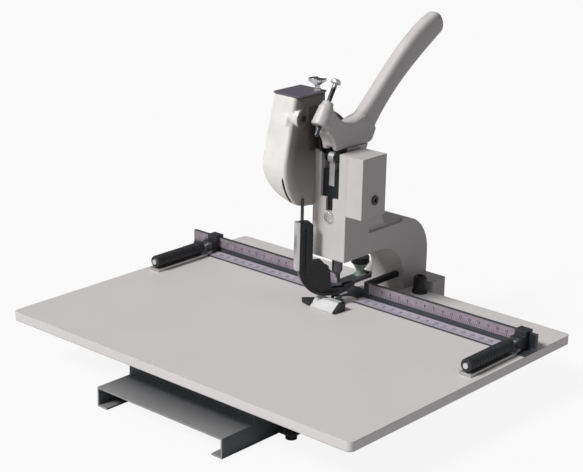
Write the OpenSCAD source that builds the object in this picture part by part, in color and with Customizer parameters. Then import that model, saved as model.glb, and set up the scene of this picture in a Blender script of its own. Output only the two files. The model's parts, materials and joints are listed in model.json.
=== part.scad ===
// Bench eyelet machine: a cast C-frame press with a table, a side hopper and a swinging raceway.
// Millimetres. +X is the operator's right, +Y points away from the operator, +Z is up.
// The origin is the centre of the rear foot's flat underside, where the machine meets the bench.

/* [Table] */
// Width of the table plate, left to right
table_w = 400; // [300:5:500]
// Depth of the table plate, front to back
table_d = 310; // [260:5:380]
// Thickness of the table plate
table_t = 8.4; // [5:0.2:12]
// Height of the table top above the bench
deck_z = 52.5; // [48:0.5:70]
// Distance from the punch axis back to the rear edge of the table
table_back = 89; // [85:1:93]
// Radius of the plate's corners
table_corner_r = 5; // [2:0.5:15]

/* [Frame] */
// Width of the cast frame
frame_w = 39; // [36:0.5:48]
// Distance from the punch axis to the front face of the head
head_front = 14; // [14:0.5:18]
// Distance from the punch axis to the rear face of the head
head_back = 40; // [38:0.5:46]
// Height of the head's underside above the table
throat_h = 48.5; // [46:0.5:60]
// Height of the head's top above the table
head_top = 149.5; // [148:0.5:156]
// Distance from the punch axis to the column at the throat's widest
throat_d = 77.5; // [75:0.5:80]
// Radius of the throat's arch
throat_r = 39; // [34:0.5:42]
// Height of the arm's top face above the table
arm_top = 72; // [68:0.5:80]
// Depth of the column behind the throat
column_d = 35.5; // [30:0.5:40]
// Radius of the frame's rear shoulder
shoulder_r = 41; // [30:0.5:41]
// Height of the lower arm under the table
lower_arm_h = 37.6; // [30:0.2:38]

/* [Rear foot] */
// Width of the rear foot
foot_w = 114; // [90:1:150]
// Depth of the rear foot
foot_d = 36; // [30:1:50]
// Height of the rear foot's top above the table
foot_top = 8; // [2:0.5:20]
// Width of the foot's upright block
foot_block_w = 83; // [60:1:84]
// Depth of the foot's upright block
foot_block_d = 22; // [20:0.5:30]
// Thickness of the flange on the bench
flange_h = 14; // [8:0.5:20]
// Diameter of the bench bolt holes
bench_hole_d = 9; // [6:0.5:12]
// Distance between the bench bolt holes
bench_pitch = 98; // [96:1:100]

/* [Ram and tools] */
// Width of the ram
ram_w = 20.84; // [18:0.02:20.84]
// Depth of the ram
ram_d = 23.84; // [20:0.02:23.84]
// Length of the ram
ram_h = 69.5; // [60:0.5:75]
// Stroke of the ram
stroke = 20; // [16:0.5:21]
// Diameter of the punch holder
punch_d = 10; // [8:0.5:12]
// Height of the punch face above the table at rest
punch_z = 30; // [29:0.5:32]
// Height of the die's face above the table
die_z = 9; // [7:0.5:9]
// Diameter of the anvil post
anvil_d = 14; // [12:0.5:16]

/* [Lever] */
// Height of the lever's pivot above the table
pivot_z = 134; // [130:0.5:138]
// Travel of the lever
lever_travel = 60; // [50:1:60]
// Thickness of the lever casting
lever_t = 17; // [14:0.5:18]
// Thickness of the lever's grip
grip_t = 15; // [11:0.5:17]
// Diameter of the pivot pin
pivot_d = 9; // [7:0.5:11]
// Diameter of the crank pin that drives the ram
crank_pin_d = 5; // [4:0.5:6]

/* [Hopper] */
// Width of the hopper's neck, left to right
neck_w = 30; // [28:1:38]
// Depth of the hopper's neck, front to back
neck_d = 35.5; // [33:0.5:40]
// Height of the lid's underside above the table
neck_top = 200.5; // [196:0.5:206]
// Radius of the hopper's drum
drum_r = 48; // [44:0.5:50]
// Wall of the hopper casting
hopper_wall = 3.5; // [2.5:0.5:5]
// Thickness of the hopper's lid
lid_t = 1.5; // [1:0.1:3]

/* [Raceway] */
// Swing of the raceway
race_travel = 20; // [18:1:24]
// Thickness of the raceway's plates
race_t = 7; // [6:0.5:8]

/* [Fence] */
// Length of the fence to the left of the punch axis
fence_left = 217.5; // [180:0.5:240]
// Length of the fence to the right of the punch axis
fence_right = 200.5; // [180:0.5:240]
// Distance from the punch axis to the fence's face
fence_y = 31; // [29:0.5:34]
// Height of the fence
fence_h = 16; // [14:0.5:20]
// Thickness of the fence's upright
fence_t = 3; // [2:0.5:4]
// Width of the scale strip in front of the fence
scale_w = 16.5; // [14:0.5:18]
// Travel of the fence toward the punch
fence_travel = 10; // [6:0.5:10]

/* [Side stops] */
// Distance from the punch axis to each stop's grip at rest
stop_x = 187; // [150:1:192]
// Diameter of a stop's grip
grip_d = 12; // [9:0.5:14]
// Length of a stop's grip
grip_l = 64; // [45:1:75]
// Travel of a stop along the fence
stop_travel = 140; // [100:5:150]

/* [Front stand] */
// Width of the stand
stand_w = 150; // [120:2:200]
// Depth of the stand, front to back
stand_d = 75; // [60:1:90]
// Height of the stand's front tread above the bench
tread_h = 18.2; // [14:0.2:24]
// Thickness of the stand's sheet
sheet_t = 1.6; // [1.2:0.1:2.5]

/* [Hidden] */
// Running clearance of a pin in its bore, and the gap kept between parts that only pass each other
fit = 0.05;
gap = 0.3;
// Smoothness of the round parts
$fn = 64;
// The punch axis lies in front of the rear foot's centre
tool_y = -112;
// Inside faces of the ram's channel, measured from the punch axis
slot_w = ram_w + 4 * fit - 0.04;
channel_front = -11;
channel_back = channel_front + ram_d + 0.16;
ram_bottom = 62;
ram_top = ram_bottom + ram_h;
// Crank and yoke: the crank swings evenly above and below its level line
crank_r = stroke / (2 * sin(lever_travel / 2));
crank_y = -6.5;
pivot_y = crank_y + crank_r * cos(lever_travel / 2);
crank_z = pivot_z + stroke / 2;
crank_top = 152;
peg_places = [9, 24];
// Column and foot
column_back = throat_d + column_d;
column_front = 68.5;
foot_front = -tool_y - foot_d / 2;
foot_back = foot_front + foot_d;
frame_bottom = -table_t - lower_arm_h;
// Window in the front of the head
window_z = 106.5;
slot_z = 94;
// Hopper
neck_right = -17;
neck_left = neck_right - neck_w;
neck_front = -38.5;
neck_back = neck_front + neck_d;
drum_y = -3;
drum_z = 135;
bowl_r = 45;
bowl_x = -5;
bowl_z = 140;
brush_y = -2;
brush_z = 163;
wheel_r = 18;
edge_r = 8;
// Inner face of the hopper's flat right wall, and the lean of the neck's front
hopper_flat = neck_right - 7;
top_reach = norm([neck_front - drum_y, neck_top - drum_z]);
neck_lean = asin(drum_r / top_reach) - atan2(drum_y - neck_front, neck_top - drum_z);
boss_y = -34;
boss_z = 181;
lid_pin_x = -22;
lid_pin_y = neck_back - 6;
// Raceway: its plane turns about the upright pin under the hopper
race_x = -17.5;
race_y = -31;
race_pin_top = 106;
race_yaw = atan2(-race_x, -race_y);
race_reach = norm([race_x, race_y]);
// Side cover
cover_w = 18.8;
cover_front = -head_front - 0.5;
cover_back = 19;
cover_z0 = 93;
cover_screw_y = 3.5;
cover_screw_z = 109;
spring_x = 29;
spring_y = -6;
cross_pin_z = 121;
// Fence
rail_t = 1.5;
depth_bar_x = 10.5;
depth_bar_z = 11;
depth_bar_s = 5;
knob_x = -frame_w / 2 - 11.5;
knob_y = 73;
bolt_x = 36.5;
bolt_y = 81;
// Side stops
grip_y1 = 10;
grip_z = 3.2 + grip_d / 2;
// Front stand
stand_y0 = -231;
stand_step = 38;

// Places children drawn about the punch axis at table-top level
module at_punch() {
    translate([0, tool_y, deck_z]) children();
}

// Extrudes a side profile, drawn as (back, up), from x0 to x1
module side_slab(x0, x1) {
    translate([x0, 0, 0]) rotate([90, 0, 90]) linear_extrude(x1 - x0) children();
}

// Extrudes a front profile, drawn as (right, up), from y0 back to y1
module front_slab(y0, y1) {
    translate([0, y1, 0]) rotate([90, 0, 0]) linear_extrude(y1 - y0) children();
}

// A block between two corners
module block(a, b) {
    translate(a) cube(b - a);
}

// A cylinder along X
module rod_x(x0, x1, y, z, r) {
    translate([x0, y, z]) rotate([0, 90, 0]) cylinder(h = x1 - x0, r = r);
}

// A cylinder along Y
module rod_y(x, y0, y1, z, r) {
    translate([x, y1, z]) rotate([90, 0, 0]) cylinder(h = y1 - y0, r = r);
}

// A cylinder along Z
module rod_z(x, y, z0, z1, r) {
    translate([x, y, z0]) cylinder(h = z1 - z0, r = r);
}

// A plate with rounded corners
module rounded_plate(x0, y0, x1, y1, z0, z1, r) {
    translate([0, 0, z0]) linear_extrude(z1 - z0) union() {
        translate([x0 + r, y0]) square([x1 - x0 - 2 * r, y1 - y0]);
        translate([x0, y0 + r]) square([x1 - x0, y1 - y0 - 2 * r]);
        for (x = [x0 + r, x1 - r], y = [y0 + r, y1 - r]) translate([x, y]) circle(r);
    }
}

// Steel plate with a notch at its rear edge for the column
module table() {
    color("gainsboro") at_punch() difference() {
        rounded_plate(-table_w / 2, table_back - table_d, table_w / 2, table_back, -table_t, 0,
            table_corner_r);
        block([-frame_w / 2 - gap, column_front - gap, -table_t - 1], [frame_w / 2 + gap, table_back + 1, 1]);
        rod_z(0, 0, -table_t - 1, 1, anvil_d / 2 + gap);
        rear_screw_places() screw_hole();
        front_screw_places() rod_z(0, 0, -table_t - 1, -3, 2.5);
        rod_z(knob_x, knob_y, -table_t - 1, 1, 3);
        rod_z(bolt_x, bolt_y, -table_t - 1, 1, 3);
    }
}

// Countersunk hole for a table screw, its top flush with the table
module screw_hole() {
    rod_z(0, 0, -table_t - 1, 1, 2.5 + fit);
    translate([0, 0, -2.5]) cylinder(h = 2.6, r1 = 2.5 + fit, r2 = 5.1 + fit);
}

// Two screws through the stand's flange
module front_screw_places() {
    for (x = [-50, 50]) translate([x, stand_y0 + stand_step + 12, 0]) children();
}

// Two screws into the lower arm
module rear_screw_places() {
    for (x = [-11, 11]) translate([x, 52, 0]) children();
}

// Countersunk screws into the arm, and round-headed screws up through the stand
module table_screws() {
    color("silver") at_punch() {
        rear_screw_places() difference() {
            union() {
                translate([0, 0, -2.5]) cylinder(h = 2.5, r1 = 2.5, r2 = 5);
                rod_z(0, 0, -table_t - sheet_t, -2.4, 2.5);
            }
            block([-3.6, -0.6, -1], [3.6, 0.6, 1]);
        }
        front_screw_places() {
            rod_z(0, 0, -table_t - sheet_t, -3, 2.5);
            rod_z(0, 0, -table_t - sheet_t - 2.6, -table_t - sheet_t, 4.5);
        }
    }
}

// Outline of the C-frame: head, arm, rounded shoulder, column and the arm under the table
module frame_profile() {
    difference() {
        union() {
            translate([-head_front, throat_h]) square([head_front + head_back, head_top - throat_h]);
            translate([-head_front, throat_h])
                square([head_front + column_back - shoulder_r, arm_top - throat_h]);
            translate([column_back - shoulder_r, arm_top - shoulder_r]) circle(shoulder_r);
            translate([throat_d - throat_r, frame_bottom])
                square([column_back - throat_d + throat_r, arm_top - shoulder_r - frame_bottom]);
            translate([throat_d - throat_r, 0])
                square([column_back - shoulder_r - throat_d + throat_r, arm_top - 1]);
            translate([-head_front - 2, frame_bottom]) square([column_front + 30, lower_arm_h]);
            translate([head_back - 1, arm_top - 1]) square([13, 13]);
        }
        translate([head_back + 12, arm_top + 12]) circle(12);
        polygon([[cover_back, head_top + 1], [cover_back, head_top], [head_back, head_top - 19],
            [head_back + 20, head_top - 19], [head_back + 20, head_top + 1]]);
        translate([throat_d - throat_r, throat_h - throat_r]) circle(throat_r);
        translate([-head_front - 40, -table_t])
            square([head_front + 40 + throat_d - throat_r, throat_h + table_t]);
        translate([-head_front - 40, -table_t]) polygon([
            [0, 0], [column_front + head_front + 40, 0], [column_front + head_front + 40, table_t],
            [throat_d + head_front + 38, table_t + 4], [throat_d + head_front + 40, table_t + 9.5],
            [0, table_t + 9.5]]);
    }
}

// Cast C-frame with the ram's channel, the lever's slot and its bores
module c_frame() {
    color("silver") at_punch() difference() {
        side_slab(-frame_w / 2, frame_w / 2) frame_profile();
        // Channel for the ram, open below and above
        block([-slot_w / 2, channel_front, throat_h - 1], [slot_w / 2, channel_back, head_top + 1]);
        // Slot for the lever between the head's cheeks
        block([-slot_w / 2, channel_front, pivot_z - 14], [slot_w / 2, head_back + 14, head_top + 1]);
        // Front window over the ram, and the narrow slot below it
        block([-slot_w / 2, -head_front - 1, window_z], [slot_w / 2, channel_front + 1, head_top + 1]);
        block([-3.9, -head_front - 1, slot_z], [3.9, channel_front + 1, window_z + 1]);
        rod_y(0, -head_front - 1, channel_front + 1, 88.5, 3 + fit);
        // Pivot bore
        rod_x(-frame_w, frame_w, pivot_y, pivot_z, pivot_d / 2);
        // Slot for the ram's cross pin
        block([slot_w / 2 - 1, spring_y - 3.4, cross_pin_z - stroke - 4],
            [frame_w, spring_y + 3.4, cross_pin_z + 4]);
        // Pocket in the left cheek for the brush wheel
        rod_x(-13.2, -slot_w / 2 + 1, brush_y, brush_z, wheel_r + 0.8);
        // Ledges along the arm's top edges
        for (s = [-1, 1]) block([s * 18.4 - 1.4, 21, arm_top - 2.6], [s * 18.4 + 1.4, 71, arm_top + 3]);
        // Anvil, table screws, depth bar, foot bolts
        rod_z(0, 0, frame_bottom + 8, 0, anvil_d / 2);
        for (x = [-11, 11]) rod_z(x, 52, -table_t - 14, 0, 2.5);
        block([depth_bar_x - depth_bar_s / 2 - 0.2, column_front - 2, depth_bar_z - 0.2],
            [depth_bar_x + depth_bar_s / 2 + 0.2, throat_d + fence_travel + 3,
                depth_bar_z + depth_bar_s + 0.2]);
        for (x = [-10, 10]) rod_z(x, column_back - 9, frame_bottom - 1, frame_bottom + 18, 4);
        hopper_screw_places() rod_x(-frame_w / 2 - 1, -frame_w / 2 + 7, 0, 0, 2);
        rod_x(frame_w / 2 - 6, frame_w / 2 + 1, cover_screw_y, cover_screw_z, 2.5);
    }
}

// Cast rear foot that carries the column in its notch
module rear_foot() {
    color("silver") at_punch() difference() {
        union() {
            rounded_plate(-foot_w / 2, foot_front, foot_w / 2, foot_back, -deck_z, -deck_z + flange_h, 5);
            rounded_plate(-foot_block_w / 2, foot_front, foot_block_w / 2, foot_front + foot_block_d,
                -deck_z, foot_top, 2);
        }
        block([-frame_w / 2 - fit, foot_front - 1, frame_bottom],
            [frame_w / 2 + fit, column_back + fit, foot_top + 1]);
        for (s = [-1, 1]) rod_z(s * bench_pitch / 2, -tool_y, -deck_z - 1, foot_top, bench_hole_d / 2);
        for (x = [-10, 10]) rod_z(x, column_back - 9, -deck_z - 1, frame_bottom + 1, 4 + fit);
    }
}

// Bolts that hold the column to the rear foot
module foot_bolts() {
    color("dimgray") at_punch() for (x = [-10, 10])
        rod_z(x, column_back - 9, -deck_z + 0.5, frame_bottom + 18, 4);
}

// Bolt at the table's rear edge
module table_bolt() {
    color("black") at_punch() difference() {
        union() {
            rod_z(bolt_x, bolt_y, -table_t - 6, 1, 3);
            rod_z(bolt_x, bolt_y, 0, 3, 7.5);
            rod_z(bolt_x, bolt_y, 3, 15, 6.5);
            translate([bolt_x, bolt_y, 15]) cylinder(h = 1.5, r1 = 6.5, r2 = 5);
        }
        rod_z(bolt_x, bolt_y, 10, 18, 2.6);
    }
}

// Hexagon nut on the bolt, under the table
module table_nut() {
    color("dimgray") at_punch() difference() {
        translate([bolt_x, bolt_y, -table_t - 5]) cylinder(h = 5, r = 5.8, $fn = 6);
        rod_z(bolt_x, bolt_y, -table_t - 6, 0, 3);
    }
}

// Folded sheet stand: a low tread in front, full-height walls behind it, turned-in foot flanges
module front_stand() {
    wall_top = -table_t;
    tread = -deck_z + tread_h;
    y0 = stand_y0;
    y1 = stand_y0 + stand_step;
    y2 = stand_y0 + stand_d;
    color("darkgray") at_punch() difference() {
        union() {
            block([-stand_w / 2, y0, tread - sheet_t], [stand_w / 2, y1 + sheet_t, tread]);
            block([-stand_w / 2, y1, tread - sheet_t], [stand_w / 2, y1 + sheet_t, wall_top]);
            block([-stand_w / 2, y1, wall_top - sheet_t], [stand_w / 2, y2, wall_top]);
            for (s = [-1, 1]) {
                block([min(s * stand_w / 2, s * (stand_w / 2 - sheet_t)), y0, -deck_z],
                    [max(s * stand_w / 2, s * (stand_w / 2 - sheet_t)), y2, tread]);
                block([min(s * stand_w / 2, s * (stand_w / 2 - sheet_t)), y1, -deck_z],
                    [max(s * stand_w / 2, s * (stand_w / 2 - sheet_t)), y2, wall_top]);
                block([min(s * stand_w / 2, s * (stand_w / 2 - 12)), y0, -deck_z],
                    [max(s * stand_w / 2, s * (stand_w / 2 - 12)), y2, -deck_z + sheet_t]);
                block([min(s * stand_w / 2, s * (stand_w / 2 + 20)), y2 - 12, -deck_z + 4],
                    [max(s * stand_w / 2, s * (stand_w / 2 + 20)), y2, -deck_z + 4 + sheet_t]);
            }
        }
        front_screw_places() rod_z(0, 0, -20, 0, 2.5 + fit);
        for (s = [-1, 1]) rod_z(s * (stand_w / 2 + 14), y2 - 6, -deck_z, -deck_z + 9, 2);
    }
}

// Rubber feet under the stand's tabs
module rubber_feet() {
    color("black") at_punch() for (s = [-1, 1]) {
        rod_z(s * (stand_w / 2 + 14), stand_y0 + stand_d - 6, -deck_z, -deck_z + 4, 5);
        rod_z(s * (stand_w / 2 + 14), stand_y0 + stand_d - 6, -deck_z + 3, -deck_z + 4 + sheet_t, 2 - fit);
        rod_z(s * (stand_w / 2 + 14), stand_y0 + stand_d - 6, -deck_z + 4 + sheet_t, -deck_z + 7.5, 4);
    }
}

// Steel block that slides in the head's channel
module ram() {
    color("black") at_punch() difference() {
        block([-ram_w / 2, channel_front + 0.08, ram_bottom],
            [ram_w / 2, channel_front + 0.08 + ram_d, ram_top]);
        // Bore for the punch, socket for the yoke, bore for the cross pin
        rod_z(0, 0, ram_bottom - 1, ram_bottom + 18, punch_d / 2);
        block([-3, crank_y - 5, ram_top - 14], [3, crank_y + 5, ram_top + 1]);
        rod_x(4, ram_w, spring_y, cross_pin_z, 3);
        // Room for the crank's hub
        rod_x(-ram_w, ram_w, pivot_y, pivot_z, 11.5);
    }
}

// Steel yoke on the ram, with the slot that the crank pin runs in
module ram_yoke() {
    sweep_y = crank_r * (1 - cos(lever_travel / 2));
    color("white") at_punch() difference() {
        union() {
            block([-3, crank_y - 5, ram_top - 14], [3, crank_y + 5, crank_z]);
            side_slab(-3, 3) yoke_eye(sweep_y);
        }
        side_slab(-4, 4) {
            translate([crank_y - sweep_y - 0.3, crank_z - crank_pin_d / 2 - 0.3])
                square([sweep_y + 0.6, crank_pin_d + 0.6]);
            for (y = [crank_y - sweep_y - 0.3, crank_y + 0.3])
                translate([y, crank_z]) circle(crank_pin_d / 2 + 0.3);
        }
    }
}

// Rounded head of the yoke
module yoke_eye(sweep_y) {
    translate([crank_y - sweep_y, crank_z - 5.5]) square([sweep_y, 11]);
    for (y = [crank_y - sweep_y, crank_y]) translate([y, crank_z]) circle(5.5);
}

// Punch holder with its setting face and pilot
module punch() {
    color("silver") at_punch() {
        rod_z(0, 0, punch_z + 4, ram_bottom + 18, punch_d / 2);
        translate([0, 0, punch_z]) cylinder(h = 4, r1 = 2.6, r2 = punch_d / 2);
        rod_z(0, 0, punch_z - 3, punch_z, 1.25);
        translate([0, 0, punch_z - 4]) cylinder(h = 1, r1 = 0.5, r2 = 1.25);
    }
}

// Round-headed screw below the front window
module gib_screw() {
    color("white") at_punch() difference() {
        union() {
            rod_y(0, -head_front, channel_front - 0.2, 88.5, 3);
            translate([0, -head_front, 88.5]) rotate([90, 0, 0]) cylinder(h = 1.6, r1 = 6, r2 = 5);
        }
        block([-5, -head_front - 2, 88], [5, -head_front - 0.9, 89]);
    }
}

// Post in the lower arm that carries the die
module anvil_post() {
    color("gray") at_punch() difference() {
        rod_z(0, 0, frame_bottom + 8, 4, anvil_d / 2);
        rod_z(0, 0, -6, 5, 3.5);
    }
}

// Lower die with its rounded face and the pilot's hole
module die() {
    color("silver") at_punch() difference() {
        union() {
            rod_z(0, 0, -6, 4, 3.5);
            rod_z(0, 0, 4, die_z - 1.5, 5);
            translate([0, 0, die_z - 1.5]) cylinder(h = 1.5, r1 = 5, r2 = 3.6);
        }
        rod_z(0, 0, -2, die_z + 1, 1.7);
    }
}

// Bright sloped plate in front of the die that leads the paper in
module paper_guide() {
    color("white") at_punch() difference() {
        side_slab(-13, 14) polygon([[-22.5, 0.3], [-21, 0.3], [-13.5, 7], [-9.2, 7], [-9.2, 0.2],
            [-7.8, 0.2], [-7.8, 8.2], [-14, 8.2], [-22.5, 1]]);
        rod_z(0, 0, -1, 20, anvil_d / 2 + 0.6);
    }
}

// Dark cheeks at the guide's two ends
module guide_cheeks() {
    color("black") at_punch() {
        side_slab(14, 17.5) polygon([[-22.5, 0.2], [-7.8, 0.2], [-7.8, 8.4], [-14, 8.4]]);
        translate([0, 0, 0.2]) linear_extrude(5) polygon([[-26, -19], [-13, -22.5], [-13, -7.8], [-16, -9]]);
    }
}

// Black plate of the raceway: an upright leg, a quarter turn and the mouth around the punch axis
module raceway() {
    z_pin = 85;
    color("black") at_punch() translate([race_x, race_y, 0]) rotate([0, 0, -race_yaw]) difference() {
        side_slab(-race_t / 2, race_t / 2) raceway_profile();
        rod_z(0, 0, 80, z_pin, 1.5 + fit);
        // Eyelet channel on the right face, and the mouth that the pilot passes
        side_slab(race_t / 2 - 1.2, race_t) channel_profile();
        block([-2.2, race_reach - 3, 5], [2.2, race_reach + 20, 30]);
        rod_z(0, race_reach - 3, 5, 30, 2.2);
    }
}

// Side view of the raceway's plate, measured from its pin
module raceway_profile() {
    bend = 29;
    translate([-3, 39]) square([13, 39]);
    translate([-3, 39]) square([8, 45]);
    translate([5, 79]) circle(5);
    intersection() {
        translate([bend - 3, bend + 10.4]) circle(bend);
        translate([-3, 10.4]) square([bend, bend]);
    }
    polygon([[10, 15], [bend - 3, 10.4], [race_reach, 10.4], [race_reach + 6, 12], [race_reach + 17, 19],
        [race_reach + 16, 21], [race_reach + 7, 19.5], [race_reach + 6, 17], [race_reach - 6.5, 17],
        [28.5, 24], [27.5, 36], [19, 45.5], [9, 45.5]]);
}

// Path of the eyelets down the plate
module channel_profile() {
    bend = 26;
    translate([0, bend + 13.3]) square([3.4, 38]);
    difference() {
        intersection() {
            translate([bend, bend + 13.4]) circle(bend);
            translate([0, 13.4]) square([bend, bend]);
        }
        translate([bend, bend + 13.4]) circle(bend - 3.4);
    }
    translate([bend - 0.1, 13.4]) square([race_reach - bend, 3.4]);
}

// Bright strip along the raceway's front edge
module raceway_cover() {
    color("white") at_punch() translate([race_x, race_y, 0]) rotate([0, 0, -race_yaw])
        side_slab(-race_t / 2 - 0.5, race_t / 2 + 0.5) translate([-6, 38]) square([3, 46]);
}

// Upright pin that the raceway turns on
module raceway_pin() {
    color("dimgray") at_punch() rod_z(race_x, race_y, 80.3, race_pin_top, 1.5);
}

// Points of a cubic curve between two ends
function curve(a, b, c, d, t) =
    pow(1 - t, 3) * a + 3 * pow(1 - t, 2) * t * b + 3 * (1 - t) * t * t * c + pow(t, 3) * d;
// Upper and lower edges of the grip, as (back, up) from the punch axis
function grip_top(t) = curve([15, 174], [52.3, 201.7], [81.5, 241.2], [127, 258.5], t);
function grip_low(t) = curve([36, 155], [61.8, 193.9], [99.8, 215.4], [139, 239], t);
// A rounded section of the grip: half width across X and half depth across the curve
function section_point(k, n, half_w, half_d) =
    let (a = 360 * k / n, c = cos(a), s = sin(a))
    [half_w * sign(c) * pow(abs(c), 0.6), half_d * sign(s) * pow(abs(s), 0.6)];

// Curved grip, swept along its own two edges and closed with a round tip
module grip_sweep() {
    n = 24;
    steps = 16;
    tip = [for (a = [18 : 18 : 90]) a];
    rings = [for (i = [0 : steps]) let (t = i / steps, u = grip_top(t), l = grip_low(t))
            [(u + l) / 2, (u - l) / 2, 1]];
    last = rings[steps];
    along = [last[1][1], -last[1][0]];
    caps = [for (a = tip) [last[0] + along * sin(a) * 0.75, last[1] * max(cos(a), 0.02), max(cos(a), 0.02)]];
    all = concat(rings, caps);
    count = len(all);
    points = [for (r = all, k = [0 : n - 1])
            let (p = section_point(k, n, grip_t / 2 * (r[2] < 1 ? 0.3 + 0.7 * r[2] : 1), 1))
            [p[0], r[0][0] + r[1][0] * p[1], r[0][1] + r[1][1] * p[1]]];
    walls = [for (i = [0 : count - 2], k = [0 : n - 1], h = [0, 1])
            let (a = i * n + k, b = i * n + (k + 1) % n, c = a + n, d = b + n)
            h == 0 ? [a, b, d] : [a, d, c]];
    first = [for (k = [1 : n - 2]) [0, k + 1, k]];
    end = [for (k = [1 : n - 2]) [(count - 1) * n, (count - 1) * n + k, (count - 1) * n + k + 1]];
    polyhedron(points = points, faces = concat(walls, first, end));
}

// Cast lever: body over the head, boss for the adjusting screw, curved grip
module lever() {
    color("silver") at_punch() difference() {
        union() {
            side_slab(-lever_t / 2, lever_t / 2) polygon([[-16, crank_top], [-17.5, 159], [-21, 165],
                [-27, 170], [-24, 184], [-19, 189], [-12, 182], [-5, 176.5], [2.5, 174.5], [9, 174.5],
                [15, 176], [25, 178], [41, 164], [36.5, 155], [32.5, crank_top]]);
            grip_sweep();
            at_boss() cylinder(h = 19, r1 = 8.5, r2 = 6.8);
            at_boss() translate([0, 0, 18.9]) cylinder(h = 4.6, r = 5.3);
        }
        at_boss() translate([0, 0, -30]) cylinder(h = 80, r = 2);
        for (y = peg_places) rod_z(0, y, crank_top - 1, crank_top + 10, 2.5);
        block([-3.4, -20, crank_top - 1], [3.4, 3, crank_top + 3.5]);
    }
}

// Frame of the boss: its axis leans back from the upright
module at_boss() {
    translate([0, -30.5, 176.5]) rotate([-30, 0, 0]) children();
}

// Forged crank under the lever: hub on the pivot pin, two ears around the yoke
module lever_crank() {
    color("black") at_punch() difference() {
        union() {
            side_slab(-lever_t / 2, lever_t / 2) {
                translate([pivot_y, pivot_z]) circle(9.5);
                translate([crank_y, crank_z]) circle(5);
                polygon([[crank_y - 4.5, crank_z], [crank_y - 4.5, crank_top], [pivot_y + 18, crank_top],
                    [pivot_y + 15, crank_top - 6], [pivot_y + 9, pivot_z - 2], [pivot_y, pivot_z],
                    [crank_y, crank_z - 4.6]]);
            }
            for (y = peg_places) rod_z(0, y, crank_top - 1, crank_top + 9.5, 2.5 - fit);
        }
        rod_x(-frame_w, frame_w, pivot_y, pivot_z, pivot_d / 2 + fit);
        rod_x(-frame_w, frame_w, crank_y, crank_z, crank_pin_d / 2);
        block([-3.4, -40, pivot_z - 20], [3.4, 0.5, crank_top + 1]);
        side_slab(-3.4, 3.4) translate([crank_y, crank_z]) circle(10);
    }
}

// Pin through the head's cheeks that the lever turns on
module pivot_pin() {
    color("silver") at_punch() rod_x(-frame_w / 2, frame_w / 2, pivot_y, pivot_z, pivot_d / 2);
}

// Pin through the crank's ears and the yoke's slot
module crank_pin() {
    color("white") at_punch() rod_x(-lever_t / 2 - 0.4, lever_t / 2 + 0.4, crank_y, crank_z, crank_pin_d / 2);
}

// Long screw through the lever's boss
module adjusting_screw() {
    color("silver") at_punch() at_boss() difference() {
        union() {
            translate([0, 0, -9]) cylinder(h = 52, r = 2 - fit);
            translate([0, 0, -10]) cylinder(h = 1, r1 = 1, r2 = 2 - fit);
            translate([0, 0, 41]) cylinder(h = 2, r = 4.6);
            translate([0, 0, 43]) cylinder(h = 2, r1 = 4.6, r2 = 2.6);
        }
        translate([-0.6, -5, 43.6]) cube([1.2, 10, 3]);
    }
}

// Side view of the hopper: drum below, neck above, shrunk by w for the inside
module hopper_side(w) {
    translate([drum_y, drum_z]) circle(drum_r - w);
    polygon([[neck_front + w, neck_top + (w > 0 ? 1 : 0)], [-51 + w, 138], [-20, 132], [neck_back - w, 150],
        [neck_back - w, neck_top + (w > 0 ? 1 : 0)]]);
}

// Front view of the hopper: tapered neck above, bowl below, shrunk by w for the inside
module hopper_front(w) {
    inner = w > 0 ? 4.5 : 0;
    polygon([[bowl_x - bowl_r + w, bowl_z], [neck_left + w, neck_top + (w > 0 ? 1 : 0)],
        [neck_right - inner, neck_top + (w > 0 ? 1 : 0)], [neck_right - inner, bowl_z]]);
    intersection() {
        translate([bowl_x, bowl_z]) circle(bowl_r - w);
        translate([neck_left - 6, bowl_z - 60]) square([neck_w + 6 - inner, 60.1]);
    }
}

// Places children about the drum's centre, upright along the neck's leaning front
module at_drum() {
    translate([0, drum_y, drum_z]) rotate([-neck_lean, 0, 0]) children();
}

// Drum whose right rim is rounded, open where the neck's front meets it on a tangent
module hopper_drum() {
    depth = neck_w + 6;
    at_drum() difference() {
        translate([neck_left - 6, 0, 0]) rotate([0, 90, 0]) rotate_extrude() {
            square([drum_r - edge_r, depth]);
            square([drum_r, depth - edge_r]);
            translate([drum_r - edge_r, depth - edge_r]) circle(edge_r);
        }
        block([neck_left - 7, -drum_r - 1, 0], [neck_right + 1, 0, drum_r + 1]);
    }
}

// Leaning neck with a rounded right front edge
module hopper_neck() {
    intersection() {
        at_drum() linear_extrude(90) union() {
            translate([neck_left - 6, -drum_r]) square([neck_w + 6 - edge_r, drum_r + 20]);
            translate([neck_left - 6, -drum_r + edge_r]) square([neck_w + 6, drum_r + 20 - edge_r]);
            translate([neck_right - edge_r, -drum_r + edge_r]) circle(edge_r);
        }
        block([neck_left - 8, -60, 100], [neck_right + 1, neck_back, neck_top]);
    }
}

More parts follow.
